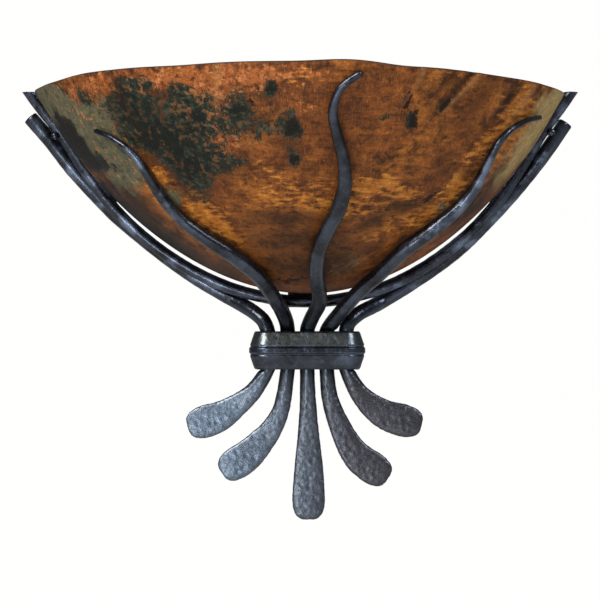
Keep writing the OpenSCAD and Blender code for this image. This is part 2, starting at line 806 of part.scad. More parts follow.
// Outline of the bulb's outer face: a neck that widens into the round bulb
function glass_outline(inset) =
    let (
        neck = neck_r - 0.7 - inset,
        ball = bulb_r - inset,
        join = 38
    )
    concat(
        [[neck, cap_start + 4 + inset], [neck, cap_end + 2]],
        [for (k = [1 : 5])
            let (t = k / 6)
            [mix(neck, ball * cos(join), ease(t * 0.92)), mix(cap_end + 2, bulb_centre - ball * sin(join), t)]],
        [for (a = [-join : 16 : 89]) [ball * cos(a), bulb_centre + ball * sin(a)]],
        [[0, bulb_centre + ball]]
    );

module lamp_glass(side) {
    outer = glass_outline(0);
    inner = glass_outline(glass_wall);
    color(frosted)
        on_wing(side)
            rotate_extrude()
                polygon(concat(
                    [[0, cap_start + 4]], outer,
                    [for (k = [len(inner) - 1 : -1 : 0]) inner[k]],
                    [[0, cap_start + 4 + glass_wall]]));
}

stem_h = 22;
wire_h = 9;
stem_top = cap_end + stem_h;
filament_z = stem_top + wire_h;
filament_reach = 9;
filament_r = 0.8;
wire_r = 0.5;

module lamp_stem(side) {
    color(clear_glass)
        on_wing(side) {
            rotate_extrude()
                polygon([
                    [0, cap_start + 4 + glass_wall + thread_gap], [8, cap_start + 4 + glass_wall + thread_gap],
                    [5, cap_end], [3.2, stem_top - 6], [3.8, stem_top], [0, stem_top]
                ]);
            for (x = [-1, 1])
                translate([x * 2.4, 0, stem_top - 1])
                    rotate([0, x * atan((filament_reach - 2.4) / (filament_z - stem_top + 1)), 0])
                        cylinder(h = norm([filament_reach - 2.4, filament_z - stem_top + 1]), r = wire_r);
        }
}

module lamp_filament(side) {
    color(tungsten)
        on_wing(side)
            translate([0, 0, filament_z + filament_r + wire_r * 0.7])
                rotate([0, 90, 0])
                    cylinder(h = 2 * filament_reach, r = filament_r, center = true);
}

// Leads and connectors

wire_nut_r = 6;
wire_nut_h = 20;
wire_nut_skirt = 8;
// Place of a connector's open end: sideways, back from the nipple's end, and height
wire_nut_x = 15;
wire_nut_back = 8.5;
wire_nut_z = -22;

// A lead leaves the lampholder's nipple, bends back under the bracket and runs through the pan's nipple
module lead(side) {
    turn = side * lead_spread;
    foot = [side * holder_along, 0, -bracket_t - locknut_h];
    tilt = side * lamp_tilt;
    function placed(p) = [
        p[0] * cos(tilt) + p[2] * sin(tilt),
        p[1] - lamp_depth,
        p[2] * cos(tilt) - p[0] * sin(tilt) + peak_z
    ];
    guides = concat(
        [for (h = [5, 0, -4, -8]) placed(foot + [0, 0, h])],
        [[side * 9, -lamp_depth + 18, -19], [side * 5, -nipple_front - 13, -8],
            [turn, -nipple_front - 6, -0.5], [turn, -nipple_front - 2, 0], [turn, -nipple_back + 2, 0],
            [turn, -nipple_back + 4, -0.3], [side * 6, -nipple_back + 8, -6],
            [side * (wire_nut_x - 1), -nipple_back + wire_nut_back + 0.5, wire_nut_z + 5],
            [side * wire_nut_x, -nipple_back + wire_nut_back, wire_nut_z - 4]]);
    color(wire_black)
        sweep(tube_rings(smooth_line(guides, 3), lead_d / 2), 8);
}

module wire_nuts() {
    bore = lead_d / 2 + seat_gap;
    color(wire_nut_tan)
        for (side = [-1, 1])
            translate([side * wire_nut_x, -nipple_back + wire_nut_back, wire_nut_z])
                rotate([0, 180, 0])
                    rotate_extrude()
                        polygon([[bore, 0], [wire_nut_r, 0], [wire_nut_r, wire_nut_skirt],
                            [wire_nut_r - 2, wire_nut_h], [0, wire_nut_h], [0, 6], [bore, 6]]);
}

module outer_arm_left() { color(iron) outer_arm(0, -1, left_arm_guides); }
module finger_left() { color(iron) finger(1, left_guides, left_drop, side_tip_d); }
module finger_centre() { color(iron) finger(2, centre_guides, centre_drop, centre_tip_d); }
module finger_right() { color(iron) finger(3, right_guides, right_drop, side_tip_d); }
module outer_arm_right() { color(iron) outer_arm(4, 1, right_arm_guides); }

shade();
back_hoop();
outer_arm_left();
finger_left();
finger_centre();
finger_right();
outer_arm_right();
collar();
hoop_rivets();
cross_bar(-1);  // cross_bar_left
cross_bar(1);  // cross_bar_right
back_spine();
wall_pan();
mounting_strap();
pan_studs();
cap_nuts();
ground_screw();
lamp_bracket();
bracket_nipple();
bracket_locknuts();
holder(-1);  // holder_left
holder(1);  // holder_right
screw_shell(-1);  // screw_shell_left
screw_shell(1);  // screw_shell_right
centre_contact(-1);  // centre_contact_left
centre_contact(1);  // centre_contact_right
holder_nipples();
holder_locknuts();
lamp_tip(-1);  // lamp_tip_left
lamp_tip(1);  // lamp_tip_right
lamp_cap(-1);  // lamp_cap_left
lamp_cap(1);  // lamp_cap_right
lamp_glass(-1);  // lamp_glass_left
lamp_glass(1);  // lamp_glass_right
lamp_stem(-1);  // lamp_stem_left
lamp_stem(1);  // lamp_stem_right
lamp_filament(-1);  // lamp_filament_left
lamp_filament(1);  // lamp_filament_right
lead(-1);  // lead_left
lead(1);  // lead_right
wire_nuts();
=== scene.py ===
"""Wrought iron wall sconce with a half-bowl shade of patinated copper, dressed for looks."""
import json
import math

import bmesh
import bpy
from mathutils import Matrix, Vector, noise

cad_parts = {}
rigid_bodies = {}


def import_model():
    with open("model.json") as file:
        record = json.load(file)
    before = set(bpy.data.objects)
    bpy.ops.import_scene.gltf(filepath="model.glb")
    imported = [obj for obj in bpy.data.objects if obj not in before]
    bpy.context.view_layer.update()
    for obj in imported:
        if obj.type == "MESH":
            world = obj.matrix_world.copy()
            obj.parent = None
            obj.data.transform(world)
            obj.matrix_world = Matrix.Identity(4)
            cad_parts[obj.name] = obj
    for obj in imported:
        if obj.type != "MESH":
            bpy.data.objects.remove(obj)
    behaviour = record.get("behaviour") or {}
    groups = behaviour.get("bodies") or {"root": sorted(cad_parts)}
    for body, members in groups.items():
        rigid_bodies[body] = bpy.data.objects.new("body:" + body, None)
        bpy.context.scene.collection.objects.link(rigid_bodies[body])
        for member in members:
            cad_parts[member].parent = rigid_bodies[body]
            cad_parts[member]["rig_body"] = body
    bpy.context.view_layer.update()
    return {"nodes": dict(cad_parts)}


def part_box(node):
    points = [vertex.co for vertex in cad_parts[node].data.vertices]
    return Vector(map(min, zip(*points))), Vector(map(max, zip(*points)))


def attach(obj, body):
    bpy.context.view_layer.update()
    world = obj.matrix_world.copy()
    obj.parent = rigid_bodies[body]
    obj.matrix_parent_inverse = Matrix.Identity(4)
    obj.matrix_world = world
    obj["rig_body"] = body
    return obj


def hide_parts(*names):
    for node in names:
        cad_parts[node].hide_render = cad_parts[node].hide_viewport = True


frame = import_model()
scene = bpy.context.scene
MM = 0.001


# Small helpers

def linear(code):
    """Turns an sRGB hex value into the linear colour that shaders take."""
    parts = [int(code[i:i + 2], 16) / 255 for i in (1, 3, 5)]
    return [p / 12.92 if p <= 0.04045 else ((p + 0.055) / 1.055) ** 2.4 for p in parts] + [1.0]


def add(tree, kind, inputs=None, **settings):
    """Adds a node. Each input is a value, or the socket that feeds it."""
    node = tree.nodes.new("ShaderNode" + kind)
    for name, value in settings.items():
        setattr(node, name, value)
    for key, value in (inputs or {}).items():
        if isinstance(value, bpy.types.NodeSocket):
            tree.links.new(value, node.inputs[key])
        else:
            node.inputs[key].default_value = value
    return node


def start_material(name):
    """An empty material with one surface shader."""
    material = bpy.data.materials.new(name)
    material.use_nodes = True
    tree = material.node_tree
    tree.nodes.clear()
    shader = add(tree, "BsdfPrincipled")
    add(tree, "OutputMaterial", {"Surface": shader.outputs[0]})
    return material, tree, shader


def select_only(piece):
    bpy.ops.object.select_all(action="DESELECT")
    piece.select_set(True)
    bpy.context.view_layer.objects.active = piece


def apply_modifier(piece, kind, **settings):
    """Adds a modifier and applies it at once."""
    select_only(piece)
    modifier = piece.modifiers.new(kind.lower(), kind)
    for name, value in settings.items():
        setattr(modifier, name, value)
    bpy.ops.object.modifier_apply(modifier=modifier.name)


def smooth(piece, degrees):
    select_only(piece)
    bpy.ops.object.shade_smooth_by_angle(angle=math.radians(degrees))


def copy_node(node, name):
    """A merged copy of a CAD node's mesh, as a new piece."""
    mesh = frame["nodes"][node].data.copy()
    mesh.name = name
    mesh.materials.clear()
    piece = bpy.data.objects.new(name, mesh)
    scene.collection.objects.link(piece)
    select_only(piece)
    bpy.ops.object.mode_set(mode="EDIT")
    bpy.ops.mesh.select_all(action="SELECT")
    bpy.ops.mesh.remove_doubles(threshold=0.000002)
    bpy.ops.mesh.tris_convert_to_quads()
    bpy.ops.object.mode_set(mode="OBJECT")
    return piece


def hand_over(piece, material, slot, body, *nodes):
    """Gives the piece its finish and its body, and hides the CAD nodes it stands for."""
    piece.data.materials.clear()
    piece.data.materials.append(material)
    if nodes:
        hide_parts(*nodes)
    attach(piece, body)


def body_of_node(node):
    return frame["nodes"][node]["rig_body"]


# Materials

def forged_iron():
    """Mild steel, forged, blackened and waxed: near black and satin, with long cool highlights. The paddles are
    wire-brushed brighter, with a painted sheen that makes them lighter still towards the left, and keep their hammer
    marks."""
    material, tree, shader = start_material("waxed_forged_iron")
    place = add(tree, "TexCoord").outputs["Object"]
    # Clouds of 25 mm, hammer marks of 6 mm and file marks of 2 mm
    clouds = add(tree, "TexNoise", {"Vector": place, "Scale": 40.0, "Detail": 4.0, "Roughness": 0.55}).outputs[0]
    marks = add(tree, "TexNoise", {"Vector": place, "Scale": 130.0, "Detail": 5.0, "Roughness": 0.6,
                                   "Distortion": 2.0}).outputs[0]
    grain = add(tree, "TexNoise", {"Vector": place, "Scale": 480.0, "Detail": 4.0, "Roughness": 0.6}).outputs[0]
    # High spots of about 18 mm, where the wax is rubbed through to brighter steel
    rubbed = add(tree, "TexNoise", {"Vector": place, "Scale": 55.0, "Detail": 3.0, "Roughness": 0.5}).outputs[0]

    def over(under, colour, share):
        return add(tree, "Mix", {0: share, 6: under, 7: colour}, data_type="RGBA").outputs[2]

    def spread(value, low, high, bottom=0.0, top=1.0):
        return add(tree, "MapRange", {"Value": value, 1: low, 2: high, 3: bottom, 4: top}).outputs[0]

    axes = add(tree, "SeparateXYZ", {"Vector": place})
    paddles = spread(axes.outputs["Z"], -0.143, -0.165)
    # Painted sheen: the paddles grow lighter towards the left, where the light falls on them
    painted_left_sheen = spread(axes.outputs["X"], 0.045, -0.06)
    # Painted sheen: the collar's upper band, between its top and its bead, is made lighter as if lit from above
    painted_band_sheen = spread(axes.outputs["Z"], -0.1285, -0.1255)
    painted_band_sheen = add(tree, "Math", {0: painted_band_sheen, 1: spread(axes.outputs["Z"], -0.1155, -0.1175)},
               operation="MULTIPLY").outputs[0]
    colour = over(linear("#25272c"), linear("#424854"), spread(clouds, 0.38, 0.62))
    colour = over(colour, linear("#596170"), spread(marks, 0.56, 0.76, 0.0, 0.6))
    beside = add(tree, "Math", {0: axes.outputs["X"]}, operation="ABSOLUTE").outputs[0]
    rubbed_share = add(tree, "Math", {0: spread(rubbed, 0.53, 0.66, 0.0, 0.7), 1: spread(beside, 0.03, 0.1, 0.12, 1.0)},
                       operation="MULTIPLY")
    colour = over(colour, linear("#79859a"), rubbed_share.outputs[0])
    # Painted sheen on the collar's upper band
    colour = over(colour, linear("#5d6361"), add(tree, "Math", {0: painted_band_sheen, 1: 0.7}, operation="MULTIPLY").outputs[0])
    # The paddles' brushed steel, with the painted sheen to the left and painted glints on the hammer marks there
    brushed = over(linear("#46454a"), linear("#5f6b78"), painted_left_sheen)
    brushed = over(brushed, linear("#33343a"), spread(marks, 0.52, 0.36, 0.0, 0.5))
    brushed = over(brushed, linear("#8d9aa8"), add(tree, "Math", {0: spread(marks, 0.56, 0.72, 0.0, 0.45), 1: painted_left_sheen},
                                                   operation="MULTIPLY").outputs[0])
    colour = over(colour, brushed, paddles)
    tree.links.new(colour, shader.inputs["Base Color"])
    gloss = add(tree, "Math", {0: spread(grain, 0.3, 0.7, 0.25, 0.35), 1: spread(paddles, 0.0, 1.0, 0.0, 0.09)},
                operation="ADD")
    tree.links.new(gloss.outputs[0], shader.inputs["Roughness"])
    shader.inputs["Metallic"].default_value = 0.95
    shader.inputs["Coat Weight"].default_value = 0.3
    shader.inputs["Coat Roughness"].default_value = 0.2
    height = add(tree, "Math", {0: grain, 1: 0.03, 2: marks}, operation="MULTIPLY_ADD")
    height = add(tree, "Math", {0: clouds, 1: 3.0, 2: height.outputs[0]}, operation="MULTIPLY_ADD")
    depth = spread(paddles, 0.0, 1.0, 0.0006, 0.001)
    bump = add(tree, "Bump", {"Strength": 0.45, "Distance": depth, "Height": height.outputs[0]})
    tree.links.new(bump.outputs[0], shader.inputs["Normal"])
    return material


def patinated_copper():
    """Copper sheet, torched and acid-stained under lacquer: mottled browns and orange with ragged dark green
    patches, satin on top. The painted masks say where each colour lies, and noise breaks up their edges. Some masks
    paint
    light and shade: a reflection along the right edge and in the gold's streaks, shadows beside the right finger and
    arm and in the folds' grooves, and highlights on the folds' ridges."""
    material, tree, shader = start_material("patinated_copper")
    place = add(tree, "TexCoord").outputs["Object"]
    sheet = add(tree, "UVMap", uv_map="sheet").outputs[0]
    # Patches of 10 to 30 mm, flecks of 2 to 5 mm and specks under a millimetre
    medium = add(tree, "TexNoise", {"Vector": place, "Scale": 62.0, "Detail": 7.0, "Roughness": 0.68,
                                    "Distortion": 0.4}).outputs[0]
    fine = add(tree, "TexNoise", {"Vector": place, "Scale": 240.0, "Detail": 6.0, "Roughness": 0.75}).outputs[0]
    flecks = add(tree, "TexNoise", {"Vector": place, "Scale": 200.0, "Detail": 4.0, "Roughness": 0.6,
                                    "Distortion": 0.3}).outputs[0]
    specks = add(tree, "TexNoise", {"Vector": place, "Scale": 900.0, "Detail": 3.0, "Roughness": 0.7}).outputs[0]
    broad = add(tree, "TexNoise", {"Vector": place, "Scale": 17.0, "Detail": 5.0, "Roughness": 0.6,
                                   "Distortion": 0.6}).outputs[0]

    def lines(wide, high):
        """Streaks of the sheet: so many per decimetre around the bowl and down it."""
        stretched = add(tree, "Mapping", {"Vector": sheet, "Scale": (wide, high, 1.0)})
        return add(tree, "TexNoise", {"Vector": stretched.outputs[0], "Scale": 1.0, "Detail": 5.0,
                                      "Roughness": 0.6, "Distortion": 0.2}, noise_dimensions="2D").outputs[0]

    hairs = lines(110.0, 14.0)
    bands = lines(6.0, 34.0)

    def over(under, colour, share):
        return add(tree, "Mix", {0: share, 6: under, 7: colour}, data_type="RGBA").outputs[2]

    def spread(value, low, high, bottom=0.0, top=1.0):
        return add(tree, "MapRange", {"Value": value, 1: low, 2: high, 3: bottom, 4: top}).outputs[0]

    def times(first, second):
        return add(tree, "Math", {0: first, 1: second}, operation="MULTIPLY").outputs[0]

    def mask(name, low, high, *parts, top=1.0):
        """Where a colour lies: its painted mask, with its edge broken up by pairs of a noise and its amount."""
        total = add(tree, "Attribute", attribute_name=name).outputs["Fac"]
        for source, amount in parts:
            moved = add(tree, "Math", {0: source, 1: amount, 2: -0.5 * amount}, operation="MULTIPLY_ADD")
            total = add(tree, "Math", {0: total, 1: moved.outputs[0]}, operation="ADD").outputs[0]
        return spread(total, low, high, 0.0, top)

    colour = over(linear("#3a1f0e"), linear("#ab6428"), spread(medium, 0.38, 0.6))
    colour = over(colour, linear("#6b3718"), spread(broad, 0.42, 0.6, 0.0, 0.65))
    colour = over(colour, linear("#2e1c14"), spread(flecks, 0.45, 0.33, 0.0, 0.5))
    colour = over(colour, linear("#b0702c"), spread(hairs, 0.52, 0.72, 0.0, 0.4))
    colour = over(colour, linear("#3a2210"), spread(bands, 0.5, 0.32, 0.0, 0.55))
    salmon = mask("salmon", 0.42, 0.66, (medium, 0.9), (flecks, 1.3), (hairs, 0.5))
    colour = over(colour, linear("#a35a2b"), times(salmon, 0.85))
    colour = over(colour, linear("#c9814b"), times(salmon, spread(flecks, 0.53, 0.63, 0.0, 0.75)))
    colour = over(colour, linear("#3b2412"), times(salmon, spread(fine, 0.47, 0.36, 0.0, 0.85)))
    # Bright copper tone; its lighter streaks are a painted reflection band
    gold_and_reflection = mask("gold_and_reflection", 0.4, 0.75, (medium, 1.0), (fine, 0.4), (bands, 1.9))
    colour = over(colour, linear("#b06826"), times(gold_and_reflection, 0.9))
    colour = over(colour, linear("#d08c3a"), times(gold_and_reflection, spread(bands, 0.5, 0.68, 0.0, 0.8)))
    # Dark brown towards the bottom and along the lower left edge; the strips beside the right finger and arm are
    # painted shadow
    umber_and_shadow = mask("umber_and_shadow", 0.35, 0.75, (medium, 0.9), (fine, 0.9), (bands, 0.9))
    colour = over(colour, linear("#2a190d"), times(umber_and_shadow, 0.88))
    olive = mask("olive", 0.34, 0.56, (medium, 0.7), (fine, 0.9))
    colour = over(colour, linear("#67634a"), times(olive, 0.95))
    colour = over(colour, linear("#44483a"), times(olive, spread(medium, 0.5, 0.62, 0.0, 0.8)))
    colour = over(colour, linear("#b87c4a"), times(olive, spread(flecks, 0.6, 0.64, 0.0, 0.9)))
    # Painted reflection: a pale band along the right edge, where the sheet turns away and mirrors the white room
    tan = mask("tan", 0.3, 0.85, (medium, 1.0), (hairs, 0.8))
    colour = over(colour, linear("#c4a66c"), times(tan, 0.95))
    colour = over(colour, linear("#7d5f30"), times(tan, spread(hairs, 0.5, 0.64, 0.0, 0.7)))
    # Two depths of the green-black patches; torn holes in them let the copper through
    torn = spread(flecks, 0.545, 0.585, 1.0, 0.1)
    halo = mask("verdigris", 0.3, 0.7, (medium, 1.1), (fine, 1.2))
    colour = over(colour, linear("#33271a"), times(halo, 0.7))
    dark = mask("verdigris", 0.36, 0.44, (medium, 1.3), (flecks, 1.0), (hairs, 0.6))
    colour = over(colour, linear("#20261d"), times(dark, torn))
    colour = over(colour, linear("#424b3b"), times(dark, spread(fine, 0.5, 0.62, 0.0, 0.6)))
    deep = mask("verdigris", 0.8, 0.92, (medium, 1.8), (flecks, -1.4))
    colour = over(colour, linear("#10140f"), times(deep, 0.9))
    # Near-black marks: the deepest patina spots, darker places along the left edge, and painted shadow in the fold
    # grooves and beside the right finger and arm
    colour = over(colour, linear("#120d08"), mask("dark_spots_and_shadow", 0.42, 0.52, (flecks, 1.5), (medium, 1.1), top=0.92))
    dots = spread(fine, 0.34, 0.68, 0.55, 1.3)
    colour = add(tree, "Mix", {0: 1.0, 6: colour, 7: dots}, data_type="RGBA", blend_type="MULTIPLY").outputs[2]
    grit = spread(specks, 0.35, 0.66, 0.72, 1.2)
    colour = add(tree, "Mix", {0: 1.0, 6: colour, 7: grit}, data_type="RGBA", blend_type="MULTIPLY").outputs[2]
    # Painted light and shade on the folds: darker in the grooves, lighter on the ridges
    fold_shading = add(tree, "Attribute", attribute_name="fold_light_and_shade").outputs["Fac"]
    colour = over(colour, linear("#241407"), spread(fold_shading, 0.0, -0.6, 0.0, 0.8))
    colour = over(colour, linear("#b98552"), spread(fold_shading, 0.1, 0.8, 0.0, 0.6))
    edge = add(tree, "Attribute", attribute_name="rim_edge").outputs["Fac"]
    colour = over(colour, linear("#2e2118"), edge)
    tree.links.new(colour, shader.inputs["Base Color"])
    shader.inputs["Metallic"].default_value = 0.1
    tree.links.new(spread(fine, 0.3, 0.7, 0.42, 0.64), shader.inputs["Roughness"])
    shader.inputs["Specular IOR Level"].default_value = 0.15
    shader.inputs["Coat Weight"].default_value = 0.05
    shader.inputs["Coat Roughness"].default_value = 0.3
    height = add(tree, "Math", {0: medium, 1: 1.4, 2: fine}, operation="MULTIPLY_ADD")
    bump = add(tree, "Bump", {"Strength": 0.45, "Distance": 0.001, "Height": height.outputs[0]})
    tree.links.new(bump.outputs[0], shader.inputs["Normal"])
    return material


def plain_metal(name, light, dark, roughness, metallic, scale, stretch=(1.0, 1.0, 1.0)):
    """A factory metal finish: two near tones, uneven gloss and fine marks of the given scale per metre."""
    material, tree, shader = start_material(name)
    place = add(tree, "TexCoord").outputs["Object"]
    turned = add(tree, "Mapping", {"Vector": place, "Scale": stretch})
    marks = add(tree, "TexNoise", {"Vector": turned.outputs[0], "Scale": scale, "Detail": 6.0, "Roughness": 0.6})
    clouds = add(tree, "TexNoise", {"Vector": place, "Scale": 40.0, "Detail": 3.0})
    colour = add(tree, "Mix", {0: clouds.outputs[0], 6: linear(dark), 7: linear(light)}, data_type="RGBA")
    gloss = add(tree, "MapRange", {"Value": marks.outputs[0], 1: 0.3, 2: 0.7, 3: roughness - 0.07,
                                   4: roughness + 0.09})
    bump = add(tree, "Bump", {"Strength": 0.12, "Distance": 0.0003, "Height": marks.outputs[0]})
    tree.links.new(colour.outputs[2], shader.inputs["Base Color"])
    tree.links.new(gloss.outputs[0], shader.inputs["Roughness"])
    tree.links.new(bump.outputs[0], shader.inputs["Normal"])
    shader.inputs["Metallic"].default_value = metallic
    return material


def lamp_glass(name, tint, roughness, alpha_note):
    """Glass bulb, frosted or clear: light passes, and the surface has a slight unevenness from blowing."""
    material, tree, shader = start_material(name)
    place = add(tree, "TexCoord").outputs["Object"]
    frost = add(tree, "TexNoise", {"Vector": place, "Scale": 900.0, "Detail": 3.0})
    gloss = add(tree, "MapRange", {"Value": frost.outputs[0], 1: 0.3, 2: 0.7, 3: roughness * 0.8, 4: roughness})
    tree.links.new(gloss.outputs[0], shader.inputs["Roughness"])
    shader.inputs["Base Color"].default_value = linear(tint)
    shader.inputs["IOR"].default_value = 1.5
    shader.inputs["Transmission Weight"].default_value = alpha_note
    return material


IRON = forged_iron()
COPPER = patinated_copper()
# Zinc plate is pale and slightly blue, with faint rolling marks about half a millimetre apart
ZINC = plain_metal("zinc_plated_steel", "#b4b6ba", "#9a9da2", 0.36, 0.9, 900.0, (1.0, 1.0, 0.15))
GREEN = plain_metal("green_zinc_screw", "#2f7a45", "#225c34", 0.4, 0.5, 900.0)
# Turned brass is yellow and bright, with fine lathe marks
BRASS = plain_metal("turned_brass", "#c9a257", "#b08a45", 0.3, 1.0, 1400.0, (0.2, 1.0, 1.0))
# Pressed brass lamp caps are duller
CAP_BRASS = plain_metal("pressed_brass", "#c2a86a", "#a58b50", 0.38, 1.0, 700.0)
TINNED = plain_metal("tinned_metal", "#a9abad", "#8b8d90", 0.42, 0.9, 900.0)
# Phenolic moulding is black, hard and slightly orange-peeled
PHENOLIC = plain_metal("black_phenolic", "#232223", "#191819", 0.42, 0.0, 500.0)
INSULATION = plain_metal("black_wire_insulation", "#1c1c1d", "#141415", 0.5, 0.0, 800.0)
NYLON = plain_metal("tan_nylon", "#c08a4a", "#ad7a3e", 0.48, 0.0, 600.0)
FROSTED = lamp_glass("frosted_glass", "#f3f1ea", 0.55, 0.75)
CLEAR = lamp_glass("clear_glass", "#eef4f5", 0.05, 1.0)


# Forged bars

COLLAR_BOTTOM_Z = -147.5


def hammer(piece, wave, facet, facet_size, paddle_facet, paddle_size):
    """Moves each point inwards by a little, in millimetres: slow waves and flats along a bar, and closer,
    deeper hammer marks on the paddle below the collar."""
    mesh = piece.data
    normals = [vertex.normal.copy() for vertex in mesh.vertices]
    moved = []
    for vertex, normal in zip(mesh.vertices, normals):
        place = vertex.co / MM
        slow = 0.5 + 0.5 * noise.noise(place / 19.0)
        below = min(1.0, max(0.0, (COLLAR_BOTTOM_Z - place.z) / 18.0))
        cell = noise.voronoi(place / facet_size)[0]
        flat = 1.0 - min(1.0, (cell[1] - cell[0]) * 2.2)
        depth = wave * slow + facet * flat * (1.0 - below)
        if below > 0.0:
            marks = noise.voronoi(place / paddle_size)[0]
            rim = 1.0 - min(1.0, (marks[1] - marks[0]) * 1.6)
            fine = 0.5 + 0.5 * noise.noise(place / 2.3)
            depth += below * paddle_facet * (0.7 * (1.0 - rim) + 0.3 * fine)
        moved.extend(vertex.co - normal * depth * MM)
    mesh.vertices.foreach_set("co", moved)
    mesh.update()


def forged_piece(node, name, wave=0.22, facet=0.14, facet_size=11.0, paddle_facet=0.5, paddle_size=5.5,
                 voxel=1.05, rounds=4):
    """A bar copied from its CAD node, rounded by a fine remesh, laid back on its solid so that it stays as thick,
    and marked by the hammer."""
    solid = copy_node(node, name + "_solid")
    piece = copy_node(node, name)
    apply_modifier(piece, "REMESH", mode="VOXEL", voxel_size=voxel * MM)
    apply_modifier(piece, "SMOOTH", factor=0.5, iterations=rounds)
    apply_modifier(piece, "SHRINKWRAP", target=solid, wrap_method="NEAREST_SURFACEPOINT")
    apply_modifier(piece, "SMOOTH", factor=0.5, iterations=2)
    bpy.data.objects.remove(solid)
    hammer(piece, wave, facet, facet_size, paddle_facet, paddle_size)
    smooth(piece, 60)
    hand_over(piece, IRON, "iron", body_of_node(node), node)
    return piece


for node in ("back_hoop", "outer_arm_left", "finger_left", "finger_centre", "finger_right", "outer_arm_right"):
    forged_piece(node, "forged_" + node)
forged_piece("collar", "forged_collar", wave=0.35, facet=0.12, facet_size=9.0,
             paddle_facet=0.0, voxel=0.6, rounds=2)
forged_piece("hoop_rivets", "hammered_rivets", wave=0.05, facet=0.12, facet_size=2.4, paddle_facet=0.0)


# Shade

